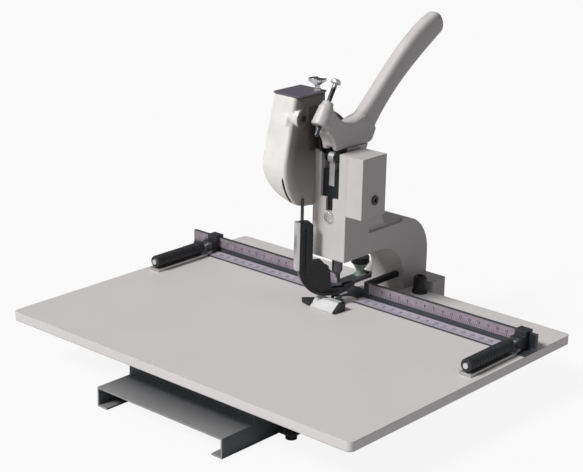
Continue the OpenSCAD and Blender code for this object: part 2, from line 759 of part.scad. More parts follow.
// Cast hopper on the head's left side, open at the top
module hopper_body() {
    color("whitesmoke") at_punch() difference() {
        union() {
            intersection() {
                union() {
                    hopper_drum();
                    hopper_neck();
                }
                front_slab(-60, 60) hopper_front(0);
            }
            rod_x(-26, neck_right + 1.5, boss_y, boss_z, 8.5);
            translate([-26, boss_y, boss_z]) sphere(8.5);
        }
        // Inside, with a flat wall on the right
        intersection() {
            side_slab(neck_left, hopper_flat) hopper_side(hopper_wall);
            front_slab(-60, 60) hopper_front(hopper_wall);
        }
        difference() {
            block([neck_left + hopper_wall, neck_front + hopper_wall, 190],
                [hopper_flat, neck_back - hopper_wall, neck_top + 1]);
            rod_z(lid_pin_x, lid_pin_y, 189, neck_top + 2, 4.5);
        }
        // Clear of the head and of the recess below the neck
        block([-frame_w / 2, -head_front - gap, 60], [0, 60, head_top + 1]);
        block([-19.5, -26, 172], [0, 60, 189]);
        // Brush wheel's side and shaft
        rod_x(-60, 0, brush_y, brush_z, 3 + fit);
        block([-19.5, -23, head_top], [0, 60, 189]);
        // Seam around the lower front of the drum
        seam();
        rod_x(-20, 0, boss_y, boss_z, 2.2);
        hopper_screw_places() rod_x(-30, 0, 0, 0, 2 + fit);
        rod_z(race_x, race_y, 80, race_pin_top, 1.5);
        rod_z(lid_pin_x, lid_pin_y, neck_top - 11, neck_top + 1, 1.5);
    }
}

// Narrow groove around the drum's lower front
module seam() {
    intersection() {
        difference() {
            rod_x(-26, -24.8, drum_y, drum_z, drum_r + 2);
            rod_x(-27, -24, drum_y, drum_z, drum_r - 1.6);
        }
        block([-30, -60, 80], [-20, -12, 129]);
    }
}

// Two screws that hold the hopper to the head
module hopper_screw_places() {
    for (p = [[-4, 112], [28, 112]]) translate([0, p[0], p[1]]) children();
}

// Socket screws from inside the hopper into the head
module hopper_screws() {
    color("dimgray") at_punch() hopper_screw_places() {
        rod_x(-24, -frame_w / 2 + 6, 0, 0, 2 - 0.02);
        rod_x(-27, -24, 0, 0, 3.6);
    }
}

// Flat steel lid that swings aside about the thumb screw
module hopper_lid() {
    color("slategray") at_punch() difference() {
        rounded_plate(neck_left - 1, neck_front - 1, neck_right + 0.6, neck_back + 1, neck_top,
            neck_top + lid_t, 1.5);
        rod_z(lid_pin_x, lid_pin_y, neck_top - 1, neck_top + lid_t + 1, 1.5 + fit);
    }
}

// Thumb screw with a wide flat head
module thumb_screw() {
    z0 = neck_top + lid_t;
    color("silver") at_punch() difference() {
        union() {
            rod_z(lid_pin_x, lid_pin_y, neck_top - 10, z0 + 1, 1.5 - 0.02);
            rod_z(lid_pin_x, lid_pin_y, z0 + 0.1, z0 + 2, 3.4);
            rod_z(lid_pin_x, lid_pin_y, z0 + 1.5, z0 + 6, 2.4);
            translate([lid_pin_x, lid_pin_y, z0 + 5.5]) cylinder(h = 3.5, r1 = 3.5, r2 = 8.2);
            rod_z(lid_pin_x, lid_pin_y, z0 + 9, z0 + 11, 8.2);
        }
        for (s = [-1, 1]) translate([lid_pin_x, lid_pin_y + s * 9.5, z0 + 3]) cylinder(h = 12, r = 6);
    }
}

// Brush that stirs the eyelets
module brush() {
    color("saddlebrown") at_punch() difference() {
        union() {
            rod_x(-43, -26, brush_y, brush_z, 6);
            for (a = [0 : 45 : 315]) translate([-42, brush_y, brush_z]) rotate([a, 0, 0])
                block([0, -1.2, 4], [15, 1.2, 10.5]);
        }
        rod_x(-50, 0, brush_y, brush_z, 3);
    }
}

// Shaft that joins the brush and its wheel
module brush_shaft() {
    color("silver") at_punch() rod_x(-49, -8.9, brush_y, brush_z, 3);
}

// Black wheel between the hopper and the lever that turns the brush
module brush_wheel() {
    color("black") at_punch() difference() {
        union() {
            rod_x(-12.4, -9.4, brush_y, brush_z, wheel_r);
            rod_x(-18, -12, brush_y, brush_z, 6);
        }
        rod_x(-50, 0, brush_y, brush_z, 3);
    }
}

// Box cover on the head's right side over the return spring
module side_cover() {
    color("silver") at_punch() difference() {
        block([frame_w / 2, cover_front, cover_z0], [frame_w / 2 + cover_w, cover_back, head_top]);
        block([frame_w / 2 - 1, cover_front + 2.5, cover_z0 + 2.5],
            [frame_w / 2 + cover_w - 2.5, cover_back - 2.5, head_top - 3]);
        rod_x(frame_w / 2, frame_w, cover_screw_y, cover_screw_z, 2.5 + fit);
        rod_z(spring_x, spring_y, head_top - 4, head_top - 1, 2);
    }
}

// Hex-socket screw in the cover's side
module cover_screw() {
    color("dimgray") at_punch() difference() {
        union() {
            rod_x(frame_w / 2 - 6, frame_w / 2 + cover_w, cover_screw_y, cover_screw_z, 2.5 - 0.02);
            rod_x(frame_w / 2 + cover_w, frame_w / 2 + cover_w + 1.2, cover_screw_y, cover_screw_z, 4.4);
        }
        translate([frame_w / 2 + cover_w - 2, cover_screw_y, cover_screw_z])
            rotate([0, 90, 0]) cylinder(h = 5, r = 2.2, $fn = 6);
    }
}

// Pin at the top of the cover that the return spring hangs on
module spring_anchor() {
    color("silver") at_punch() {
        rod_z(spring_x, spring_y, head_top - 7, head_top - 1, 2);
        rod_z(spring_x, spring_y, head_top - 7.5, head_top - 7, 3.2);
    }
}

// Tension spring between the anchor and the ram's cross pin, one unbroken wire
module return_spring() {
    turns = 11;
    sides = 6;
    per_turn = 8;
    coil_r = 4.6;
    wire_r = 0.6;
    z0 = cross_pin_z + 4.2;
    z1 = head_top - 8.4;
    count = turns * per_turn;
    points = [for (i = [0 : count], k = [0 : sides - 1])
            let (a = 360 * i / per_turn, b = 360 * k / sides, r = coil_r + wire_r * cos(b))
            [spring_x + r * cos(a), spring_y + r * sin(a), z0 + (z1 - z0) * i / count + wire_r * sin(b)]];
    walls = [for (i = [0 : count - 1], k = [0 : sides - 1], h = [0, 1])
            let (a = i * sides + k, b = i * sides + (k + 1) % sides)
            h == 0 ? [a, b + sides, b] : [a, a + sides, b + sides]];
    first = [for (k = [1 : sides - 2]) [0, k, k + 1]];
    end = [for (k = [1 : sides - 2]) [count * sides, count * sides + k + 1, count * sides + k]];
    color("lightgray") at_punch() polyhedron(points = points, faces = concat(walls, first, end));
}

// Pin from the ram into the cover, with the spring's seat
module cross_pin() {
    color("silver") at_punch() {
        rod_x(4.2, spring_x + 3, spring_y, cross_pin_z, 3);
        rod_z(spring_x, spring_y, cross_pin_z, cross_pin_z + 3.4, 3);
        rod_z(spring_x, spring_y, cross_pin_z + 2.4, cross_pin_z + 3.4, 5.4);
    }
}

// L-shaped rail: upright fence behind, strip for the scale in front, opened around the tool
module fence_rail() {
    y = fence_y;
    color("lightgray") at_punch() difference() {
        union() {
            side_slab(-fence_left, fence_right) polygon([[y - scale_w, 0.1], [y + fence_t, 0.1],
                [y + fence_t, fence_h], [y, fence_h], [y, 3.4], [y - 1.2, 3.4], [y - 1.2, rail_t],
                [y - scale_w, rail_t]]);
            // Slotted arm behind the fence, under the depth knob
            block([knob_x - 7, y + 1, 0.1], [knob_x + 7, knob_y + fence_travel + 6, 2.6]);
        }
        block([-24, y - 2, 8], [8, y + fence_t + 1, fence_h + 1]);
        block([-anvil_d / 2 - 1.5, y - scale_w - 1, -1], [anvil_d / 2 + 1.5, y - scale_w + 3, 4]);
        rod_z(0, y - scale_w + 3, -1, 4, anvil_d / 2 + 1.5);
        block([knob_x - 3.2, knob_y, -1], [knob_x + 3.2, knob_y + fence_travel, 4]);
        for (d = [0, fence_travel]) rod_z(knob_x, knob_y + d, -1, 4, 3.2);
        rod_y(depth_bar_x, y - 1, y + fence_t + 1, depth_bar_z + depth_bar_s / 2, 1.5);
    }
}

// Scale on the fence's face, in two lengths beside the tool
module upper_scale() {
    color("thistle") at_punch() {
        block([-fence_left + 1, fence_y - 0.3, 6], [-25, fence_y, fence_h - 0.5]);
        block([14, fence_y - 0.3, 6], [fence_right - 10, fence_y, fence_h - 0.5]);
    }
}

// Scale on the strip in front of the fence
module lower_scale() {
    color("lavender") at_punch() {
        for (s = [[-fence_left + 12, -9], [9, fence_right - 12]])
            block([s[0], fence_y - scale_w + 0.5, rail_t], [s[1], fence_y - 2.5, rail_t + 0.3]);
    }
}

// Cap on the fence's right end
module fence_cap() {
    color("dimgray") at_punch()
        block([fence_right - 9, fence_y - 0.9, rail_t + 2.2], [fence_right, fence_y, fence_h]);
}

// Bar from the fence into the column that keeps the fence square
module depth_bar() {
    color("black") at_punch() {
        block([depth_bar_x - depth_bar_s / 2, fence_y + fence_t, depth_bar_z],
            [depth_bar_x + depth_bar_s / 2, throat_d + fence_travel + 2, depth_bar_z + depth_bar_s]);
        rod_y(depth_bar_x, fence_y, fence_y + fence_t + 0.5, depth_bar_z + depth_bar_s / 2, 1.5);
    }
}

// Knob that clamps the fence's slotted arm
module depth_knob() {
    color("gray") at_punch() difference() {
        union() {
            rod_z(knob_x, knob_y, 2.7, 4.2, 6);
            rod_z(knob_x, knob_y, 4, 8.2, 3.8);
            translate([knob_x, knob_y, 8]) cylinder(h = 8, r1 = 3.8, r2 = 8.4);
            rod_z(knob_x, knob_y, 16, 22, 9);
        }
        rod_z(knob_x, knob_y, 0, 15, 3);
    }
}

// Stud through the table and the slotted arm into the knob
module knob_stud() {
    color("silver") at_punch() {
        rod_z(knob_x, knob_y, 0, 15, 3 - fit);
        rod_z(knob_x, knob_y, -table_t, 0, 3);
        rod_z(knob_x, knob_y, -table_t - 2.5, -table_t, 6);
    }
}

// Block that rides on the fence; s is -1 on the left and 1 on the right
module stop_slide(s) {
    color("silver") at_punch() translate([s * stop_x, 0, 0]) difference() {
        union() {
            block([-6, fence_y - 12, 2.1], [6, fence_y - 1.5, grip_z + 4]);
            block([-6, fence_y - 5, fence_h + gap], [6, fence_y + fence_t + 2.2, fence_h + 2.2]);
            block([-6, fence_y + fence_t + gap, 8], [6, fence_y + fence_t + 2.2, fence_h + 2.2]);
            block([-6, fence_y - 5, grip_z + 3], [6, fence_y - 1.5, fence_h + 2.2]);
        }
        rod_y(0, fence_y - 13, fence_y - 4, grip_z, 1.6 + fit);
    }
}

// Flat blade that stops the paper's edge
module stop_blade(s) {
    color("gray") at_punch() translate([s * stop_x, 0, 0]) {
        block([-6, grip_y1 - grip_l - 1, 0.3], [6, fence_y - scale_w - 0.5, 2.9]);
        block([-6, fence_y - scale_w - 0.6, 2.1], [6, fence_y - 12, 4.2]);
    }
}

// Black ribbed grip that clamps the stop
module stop_grip(s) {
    color("black") at_punch() translate([s * stop_x, 0, 0]) difference() {
        union() {
            rod_y(0, grip_y1 - grip_l, grip_y1, grip_z, grip_d / 2 - 0.4);
            for (i = [0 : 15]) rod_y(0, grip_y1 - grip_l + 1.2 + i * 3.9, grip_y1 - grip_l + 3.6 + i * 3.9,
                grip_z, grip_d / 2);
        }
        rod_y(0, grip_y1 - grip_l - 1, grip_y1 + 1, grip_z, 1.6);
    }
}

// Bright spindle through the grip into the slide
module stop_spindle(s) {
    color("white") at_punch() translate([s * stop_x, 0, 0]) {
        rod_y(0, grip_y1 - grip_l, fence_y - 5, grip_z, 1.6);
        rod_y(0, grip_y1 - grip_l - 1.4, grip_y1 - grip_l, grip_z, 2.6);
    }
}

module stop_slide_left() { stop_slide(-1); }
module stop_blade_left() { stop_blade(-1); }
module stop_grip_left() { stop_grip(-1); }
module stop_spindle_left() { stop_spindle(-1); }
module stop_slide_right() { stop_slide(1); }
module stop_blade_right() { stop_blade(1); }
module stop_grip_right() { stop_grip(1); }
module stop_spindle_right() { stop_spindle(1); }

table();
c_frame();
rear_foot();
foot_bolts();
front_stand();
rubber_feet();
table_screws();
table_bolt();
table_nut();
fence_rail();
upper_scale();
lower_scale();
fence_cap();
depth_bar();
depth_knob();
knob_stud();
stop_slide_left();
stop_blade_left();
stop_grip_left();
stop_spindle_left();
stop_slide_right();
stop_blade_right();
stop_grip_right();
stop_spindle_right();
side_cover();
cover_screw();
spring_anchor();
return_spring();
cross_pin();
ram();
ram_yoke();
punch();
gib_screw();
anvil_post();
die();
paper_guide();
guide_cheeks();
lever();
lever_crank();
pivot_pin();
crank_pin();
adjusting_screw();
hopper_body();
hopper_lid();
thumb_screw();
brush();
brush_shaft();
brush_wheel();
hopper_screws();
raceway();
raceway_cover();
raceway_pin();
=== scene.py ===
import bpy
import bmesh
import json
import math
from mathutils import Matrix, Vector


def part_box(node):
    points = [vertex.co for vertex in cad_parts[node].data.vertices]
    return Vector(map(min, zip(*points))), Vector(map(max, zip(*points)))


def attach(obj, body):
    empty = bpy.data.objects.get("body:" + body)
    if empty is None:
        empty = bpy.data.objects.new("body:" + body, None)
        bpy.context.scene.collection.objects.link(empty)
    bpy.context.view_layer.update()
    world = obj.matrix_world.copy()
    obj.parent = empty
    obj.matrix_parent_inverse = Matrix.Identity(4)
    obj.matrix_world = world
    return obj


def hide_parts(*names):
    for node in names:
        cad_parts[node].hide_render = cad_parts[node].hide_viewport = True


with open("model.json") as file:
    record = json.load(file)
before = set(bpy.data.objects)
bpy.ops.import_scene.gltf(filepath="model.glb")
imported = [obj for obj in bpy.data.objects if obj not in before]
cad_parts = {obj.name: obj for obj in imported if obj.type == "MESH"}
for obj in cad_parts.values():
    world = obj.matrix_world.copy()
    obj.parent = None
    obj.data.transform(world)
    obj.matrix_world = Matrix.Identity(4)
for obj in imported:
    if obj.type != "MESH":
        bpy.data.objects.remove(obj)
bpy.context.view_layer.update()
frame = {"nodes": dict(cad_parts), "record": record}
NODES = frame["nodes"]
MM = 0.001
# The punch's axis behind the origin, and the table's top above the bench, in mm
PUNCH_Y, DECK_Z = -112, 52.5

# ---------------------------------------------------------------- camera and light
# The photograph's camera: angles in radians, distance in metres, the rest in pixels
AZ, EL, ROLL, DIST = 0.718072704, 0.318302667, 0.020903673, 1.407137
TARGET = Vector((1.72566, -178.0, 82.84494 + DECK_Z)) * MM
FOCAL = 1584.0706
CX, CY, W, H = 292.385, 235.943, 583.0, 472.0
SENSOR = 36.0

back = Vector((math.sin(AZ) * math.cos(EL), -math.cos(AZ) * math.cos(EL), math.sin(EL)))
right = Vector((math.cos(AZ), math.sin(AZ), 0.0))
up = back.cross(right)
rolled_right = math.cos(ROLL) * right + math.sin(ROLL) * up
rolled_up = -math.sin(ROLL) * right + math.cos(ROLL) * up
cam_data = bpy.data.cameras.new("camera")
cam_data.sensor_width = SENSOR
cam_data.lens = FOCAL * SENSOR / W
cam_data.shift_x = (W / 2 - CX) / W
cam_data.shift_y = (CY - H / 2) / W
cam_data.clip_end = 20.0
cam = bpy.data.objects.new("camera", cam_data)
bpy.context.scene.collection.objects.link(cam)
m = Matrix((rolled_right, rolled_up, back)).transposed().to_4x4()
m.translation = TARGET + back * DIST
cam.matrix_world = m
bpy.context.scene.camera = cam


def sun(name, toward, strength, angle):
    """A lamp that shines from the direction toward, in the object's axes."""
    d = bpy.data.lights.new(name, "SUN")
    d.energy = strength
    d.angle = math.radians(angle)
    o = bpy.data.objects.new(name, d)
    bpy.context.scene.collection.objects.link(o)
    o.rotation_euler = Vector(toward).to_track_quat("Z", "Y").to_euler()


sun("key", (-0.20, -0.67, 0.70), 3.2, 16)
sun("fill", (0.75, -0.35, 0.35), 0.10, 60)


def camera_sees(tree, output, lit, seen, share=1.0):
    """Ends a node tree in the lit shader, and in a share of the seen one for the camera's own rays."""
    mixer = tree.nodes.new("ShaderNodeMixShader")
    amount = tree.nodes.new("ShaderNodeMath")
    amount.operation = "MULTIPLY"
    amount.inputs[1].default_value = share
    rays = tree.nodes.new("ShaderNodeLightPath")
    tree.links.new(rays.outputs["Is Camera Ray"], amount.inputs[0])
    tree.links.new(amount.outputs[0], mixer.inputs[0])
    tree.links.new(lit.outputs[0], mixer.inputs[1])
    tree.links.new(seen.outputs[0], mixer.inputs[2])
    tree.links.new(mixer.outputs[0], tree.nodes[output].inputs["Surface"])


# A weak white world, seen as plain white behind the object
WORLD_LIGHT = 0.18
world = bpy.data.worlds.new("studio")
bpy.context.scene.world = world
world.use_nodes = True
tree = world.node_tree
ambient = tree.nodes["Background"]
ambient.inputs["Color"].default_value = (1, 1, 1, 1)
ambient.inputs["Strength"].default_value = WORLD_LIGHT
seen = tree.nodes.new("ShaderNodeBackground")
seen.inputs["Color"].default_value = (1, 1, 1, 1)
seen.inputs["Strength"].default_value = 1.0
camera_sees(tree, "World Output", ambient, seen)
bpy.context.scene.view_settings.view_transform = "Standard"

# ---------------------------------------------------------------- floor
# A pale floor that mostly glows for the camera, so that only the object's shadow shows on it
FLOOR_HALF, FLOOR_DROP, FLOOR_GREY, FLOOR_GLOW = 6.0, 0.0004, 0.55, 0.90
bm = bmesh.new()
bmesh.ops.create_grid(bm, x_segments=1, y_segments=1, size=FLOOR_HALF)
floor_mesh = bpy.data.meshes.new("floor")
bm.to_mesh(floor_mesh)
bm.free()
floor = bpy.data.objects.new("floor", floor_mesh)
floor.location.z = -FLOOR_DROP
bpy.context.scene.collection.objects.link(floor)
floor_material = bpy.data.materials.new("floor")
floor_material.use_nodes = True
tree = floor_material.node_tree
matt = tree.nodes["Principled BSDF"]
matt.inputs["Base Color"].default_value = (FLOOR_GREY, FLOOR_GREY, FLOOR_GREY, 1)
matt.inputs["Roughness"].default_value = 0.9
glow = tree.nodes.new("ShaderNodeEmission")
glow.inputs["Strength"].default_value = 1.0
camera_sees(tree, "Material Output", matt, glow, FLOOR_GLOW)
floor_mesh.materials.append(floor_material)

# ---------------------------------------------------------------- materials
# Dark specks in an enamel: noise scale, the noise levels where a speck starts and is full, its shade
SPOT_SCALE, SPOT_START, SPOT_FULL, SPOT_SHADE = 420.0, 0.66, 0.74, 0.45
BUMP_HEIGHT = 0.0004
LOWEST_ROUGHNESS = 0.03


def material(name, color, rough, metal=0.0, vary=0.06, grain=60.0, bump=0.0, bump_scale=900.0,
             bevel=0.0006, streak=None, rough_vary=0.08, spots=0.0, painted_side_shade=None, band=None):
    """A procedural finish: mottled colour, uneven roughness, fine bump and softened edges.

    painted_side_shade = (axis, colour, start, end) paints shade on the faces that turn along an axis,
    and a fifth value (height, height, colour) gives that painted shade another colour further down.
    band = (axis, low, high, colour) gives the part beyond a line across the axis another colour.
    Lengths are in mm.
    """
    mt = bpy.data.materials.new(name)
    mt.use_nodes = True
    t = mt.node_tree
    n, link = t.nodes, t.links.new
    p = n["Principled BSDF"]
    p.inputs["Metallic"].default_value = metal
    coords = n.new("ShaderNodeTexCoord").outputs["Object"]
    mapping = n.new("ShaderNodeMapping")
    link(coords, mapping.inputs["Vector"])
    if streak:
        mapping.inputs["Scale"].default_value = streak
    mapped = mapping.outputs[0]

    def noise(scale, detail, vector):
        node = n.new("ShaderNodeTexNoise")
        node.inputs["Scale"].default_value = scale
        node.inputs["Detail"].default_value = detail
        link(vector, node.inputs["Vector"])
        return node.outputs["Fac"]

    def rise(vector, axis, start, end):
        """0 to 1 as one part of a vector goes from start to end."""
        split = n.new("ShaderNodeSeparateXYZ")
        link(vector, split.inputs[0])
        node = n.new("ShaderNodeMapRange")
        node.inputs["From Min"].default_value = start
        node.inputs["From Max"].default_value = end
        link(split.outputs[axis], node.inputs["Value"])
        return node.outputs[0]

    def blend(amount, under, over):
        """A colour that goes from under to over, each a plain colour or a node's output."""
        node = n.new("ShaderNodeMix")
        node.data_type = "RGBA"
        link(amount, node.inputs[0])
        for socket, value in ((node.inputs[6], under), (node.inputs[7], over)):
            if isinstance(value, (tuple, list)):
                socket.default_value = (*value, 1)
            else:
                link(value, socket)
        return node.outputs[2]

    mottle = noise(grain, 5.0, mapped)
    colour = blend(mottle, [c * (1 - vary) for c in color], [min(1.0, c * (1 + vary)) for c in color])
    if spots:
        edges = n.new("ShaderNodeValToRGB")
        edges.color_ramp.elements[0].position = SPOT_START
        edges.color_ramp.elements[1].position = SPOT_FULL
        link(noise(SPOT_SCALE, 3.0, coords), edges.inputs[0])
        amount = n.new("ShaderNodeMath")
        amount.operation = "MULTIPLY"
        amount.inputs[1].default_value = spots
        link(edges.outputs[0], amount.inputs[0])
        colour = blend(amount.outputs[0], colour, [c * SPOT_SHADE for c in color])
    # Painted shade: faces turned along the axis get a darker colour, as if out of the light
    if painted_side_shade:
        axis, shade, start, end = painted_side_shade[:4]
        if len(painted_side_shade) > 4:
            z0, z1, low = painted_side_shade[4]
            shade = blend(rise(coords, 2, z0 * MM, z1 * MM), low, shade)
        normal = n.new("ShaderNodeNewGeometry").outputs["Normal"]
        colour = blend(rise(normal, axis, start, end), colour, shade)
    if band:
        axis, low, high, shade = band
        colour = blend(rise(coords, axis, low * MM, high * MM), colour, shade)
    link(colour, p.inputs["Base Color"])

    roughness = n.new("ShaderNodeMapRange")
    roughness.inputs["To Min"].default_value = max(LOWEST_ROUGHNESS, rough - rough_vary)
    roughness.inputs["To Max"].default_value = min(1.0, rough + rough_vary)
    link(mottle, roughness.inputs["Value"])
    link(roughness.outputs[0], p.inputs["Roughness"])

    surface = None
    if bevel:
        soft_edge = n.new("ShaderNodeBevel")
        soft_edge.samples = 4
        soft_edge.inputs["Radius"].default_value = bevel
        surface = soft_edge.outputs[0]
    if bump:
        grit = n.new("ShaderNodeBump")
        grit.inputs["Strength"].default_value = bump
        grit.inputs["Distance"].default_value = BUMP_HEIGHT
        link(noise(bump_scale, 3.0, mapped), grit.inputs["Height"])
        if surface:
            link(surface, grit.inputs["Normal"])
        surface = grit.outputs[0]
    if surface:
        link(surface, p.inputs["Normal"])
    return mt


# Front edge of the stand, in mm
STAND_FRONT = -343
FINISH = {
    # Painted shade: the enamel's faces turned to +X are painted a darker grey
    "enamel": dict(color=(0.56, 0.54, 0.535), rough=0.42, vary=0.09, grain=45,
                   painted_side_shade=(0, (0.44, 0.42, 0.425), 0.2, 0.9), bump=0.3, bump_scale=420,
                   bevel=0.0016, spots=0.14),
    "table_enamel": dict(color=(0.65, 0.625, 0.625), rough=0.38, vary=0.035, grain=14, bump=0.12,
                         bump_scale=700, bevel=0.0014, spots=0.06),
    # Painted shade: the hopper's faces turned to +X are painted dark, fading to a lighter grey further
    # down
    "cast_hopper": dict(color=(0.80, 0.79, 0.76), rough=0.36, metal=0.1, vary=0.20, grain=42,
                        bump=0.5, bump_scale=260, bevel=0.002, spots=0.12,
                        painted_side_shade=(0, (0.115, 0.11, 0.10), 0.10, 0.6, (165, 208, (0.33, 0.31, 0.29)))),
    # Painted shade: the sheet's grey is set darker than the stand's light grey, its faces turned to +X
    # are painted darker still, and the band paints the table's shadow on the stand from a few mm behind
    # its front edge
    "sheet": dict(color=(0.30, 0.295, 0.30), rough=0.42, metal=0.2, vary=0.14, grain=26, bump=0.2,
                  bump_scale=500, bevel=0.0005, spots=0.2, painted_side_shade=(0, (0.085, 0.09, 0.095), 0.4, 0.8),
                  band=(1, STAND_FRONT + 4, STAND_FRONT + 36, (0.075, 0.08, 0.085))),
    "black_steel": dict(color=(0.014, 0.016, 0.018), rough=0.34, metal=0.2, vary=0.3, grain=80,
                        bump=0.05, bevel=0.0005),
    "bright": dict(color=(0.84, 0.84, 0.85), rough=0.24, metal=0.8, vary=0.03, grain=60,
                   bevel=0.0004),
    "steel": dict(color=(0.56, 0.555, 0.55), rough=0.36, metal=0.8, vary=0.06, grain=90,
                  bevel=0.0004),
    "dark_steel": dict(color=(0.07, 0.072, 0.078), rough=0.36, metal=0.7, vary=0.2, grain=90,
                       bevel=0.0004, bump=0.1),
    "violet_steel": dict(color=(0.19, 0.165, 0.215), rough=0.35, metal=0.55, vary=0.12, grain=50,
                         bevel=0.0004, bump=0.08),
    "scale_pink": dict(color=(0.31, 0.27, 0.305), rough=0.42, metal=0.25, vary=0.35, grain=170,
                       bevel=0.0, streak=(0.5, 1, 1), spots=0.7),
    "scale_pale": dict(color=(0.52, 0.49, 0.56), rough=0.4, metal=0.2, vary=0.14, grain=90,
                       bevel=0.0, streak=(0.4, 1, 1), spots=0.2),
    "rail": dict(color=(0.075, 0.08, 0.088), rough=0.36, metal=0.5, vary=0.2, grain=60,
                 bevel=0.0004, streak=(0.15, 1, 1), bump=0.06),
    "rubber": dict(color=(0.02, 0.02, 0.02), rough=0.8, vary=0.2, grain=120, bevel=0.0005, bump=0.2),
    "grip_plastic": dict(color=(0.02, 0.021, 0.024), rough=0.45, vary=0.25, grain=120,
                         bevel=0.0003, bump=0.1),
    "bristle": dict(color=(0.28, 0.17, 0.09), rough=0.8, vary=0.3, grain=200, bevel=0.0,
                    streak=(8, 1, 1), bump=0.5),
}
# Nodes whose own finish differs from the rest of their slot
OWN_FINISH = {
    # Painted shade: the thumb screw's upward faces are painted a dark blue-grey
    "thumb_screw": dict(FINISH["bright"], painted_side_shade=(2, (0.05, 0.06, 0.085), 0.6, 0.9)),
    "punch": dict(FINISH["steel"], color=(0.13, 0.13, 0.14)),
    "die": dict(FINISH["steel"], color=(0.16, 0.16, 0.17)),
    "anvil_post": dict(FINISH["steel"], color=(0.10, 0.10, 0.11)),
    "depth_knob": dict(FINISH["dark_steel"], color=(0.30, 0.34, 0.30), metal=0.3,
                       band=(2, DECK_Z + 15.4, DECK_Z + 16.0, (0.02, 0.022, 0.024))),
    "stop_slide_left": FINISH["dark_steel"],
    "stop_slide_right": FINISH["dark_steel"],
    "raceway": dict(FINISH["black_steel"], rough=0.2, rough_vary=0.06),
    "lever_crank": dict(FINISH["black_steel"],
                        band=(1, PUNCH_Y - 2, PUNCH_Y, (0.50, 0.485, 0.48))),
    "adjusting_screw": dict(FINISH["dark_steel"], band=(2, 261.5, 262.5, (0.75, 0.75, 0.77))),
    # The paper guide's near-white colour and low metallic stand partly for its bright steel and partly
    # for a painted highlight
    "paper_guide": dict(color=(0.80, 0.80, 0.80), rough=0.3, metal=0.35, vary=0.02, bevel=0.0004),
    "ram_yoke": dict(FINISH["bright"], rough=0.3),
}
MATERIALS = {}
slot_of = {s["node"]: s["material_slot"] for s in frame["record"]["subparts"]}
for node, obj in NODES.items():
    finish = node if node in OWN_FINISH else slot_of[node]
    if finish not in MATERIALS:
        MATERIALS[finish] = material(finish, **OWN_FINISH.get(node, FINISH[slot_of[node]]))
    obj.data.materials.clear()
    obj.data.materials.append(MATERIALS[finish])


# ---------------------------------------------------------------- added pieces
def body_of(node):
    """The body that a CAD node belongs to."""
    return next(b for b, ns in frame["record"]["behaviour"]["bodies"].items() if node in ns)


def piece(name, mesh, body, mat):
    """Adds a mesh as a piece that rides on a body."""
    o = bpy.data.objects.new(name, mesh)
    bpy.context.scene.collection.objects.link(o)
    mesh.materials.clear()
    mesh.materials.append(mat)
    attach(o, body)


def ring_mesh(name, rings):
    """A closed mesh through rings of points, given in metres, with flat ends."""
    b = bmesh.new()
    rings = [[b.verts.new(point) for point in ring] for ring in rings]
    count = len(rings[0])
    for p0, p1 in zip(rings, rings[1:]):
        for i in range(count):
            b.faces.new((p0[i], p0[(i + 1) % count], p1[(i + 1) % count], p1[i]))
    b.faces.new(rings[0][::-1])
    b.faces.new(rings[-1])
    bmesh.ops.recalc_face_normals(b, faces=b.faces)
    mesh = bpy.data.meshes.new(name)
    b.to_mesh(mesh)
    b.free()
    return mesh


def circle_angles(count):
    return [2 * math.pi * i / count for i in range(count)]


# ---------------------------------------------------------------- rounded castings
def soft_casting(node, name, voxel, passes, extra=()):
    """A cast piece with its edges rounded: the node's mesh and the extra lumps, as one smooth skin."""
    src = bmesh.new()
    src.from_mesh(NODES[node].data)
    for centre, radii, lean in extra:
        place = Matrix.Translation(Vector(centre) * MM) @ Matrix.Rotation(math.radians(lean), 4, "X")
        place = place @ Matrix.Diagonal((*[r * MM for r in radii], 1))
        bmesh.ops.create_icosphere(src, subdivisions=4, radius=1.0, matrix=place)
    bmesh.ops.remove_doubles(src, verts=src.verts, dist=1e-6)
    raw = bpy.data.meshes.new(name + "_raw")
    src.to_mesh(raw)
    src.free()
    o = bpy.data.objects.new(name + "_raw", raw)
    bpy.context.scene.collection.objects.link(o)
    skin = o.modifiers.new("skin", "REMESH")
    skin.mode = "VOXEL"
    skin.voxel_size = voxel * MM
    ease = o.modifiers.new("ease", "SMOOTH")
    ease.factor = 0.5
    ease.iterations = passes
    done = bpy.data.meshes.new_from_object(o.evaluated_get(bpy.context.evaluated_depsgraph_get()))
    bpy.data.objects.remove(o)
    bpy.data.meshes.remove(raw)
    done.name = name
    done.polygons.foreach_set("use_smooth", [True] * len(done.polygons))
    piece(name, done, body_of(node), NODES[node].data.materials[0])
    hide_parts(node)


soft_casting("lever", "lever_casting", 0.9, 16)
# The lump eases the round boss into the hopper's neck
soft_casting("hopper_body", "hopper_casting", 0.9, 12,
             extra=[((-29, PUNCH_Y - 34.5, DECK_Z + 177), (9.5, 10, 15), -11.8)])

# ---------------------------------------------------------------- hopper's seam and socket
DRUM_Y, DRUM_Z, DRUM_R, SEAM_X = PUNCH_Y - 3, DECK_Z + 135, 48, -25.4


def seam_rings(first, last, thick):
    """A thin cord let into the drum between two angles, given from level towards the operator."""
    steps, taper, sunk, flatness = 48, 8, 0.35, 0.6
    for k in range(steps + 1):
        a = math.radians(first + (last - first) * k / steps)
        r = thick * min(1.0, 0.25 + k / taper, 0.25 + (steps - k) / taper)
        out = Vector((0, -math.cos(a), -math.sin(a)))
        mid = Vector((SEAM_X, DRUM_Y, DRUM_Z)) + out * (DRUM_R - sunk)
        yield [(mid + Vector((math.cos(q), 0, 0)) * r + out * math.sin(q) * r * flatness) * MM
               for q in circle_angles(8)]


def lathe_rings(profile, place):
    """Rings of a turned piece, from (radius, along) pairs about the X axis of place."""
    for r, h in profile:
        yield [place @ (Vector((h, r * math.cos(q), r * math.sin(q))) * MM) for q in circle_angles(40)]


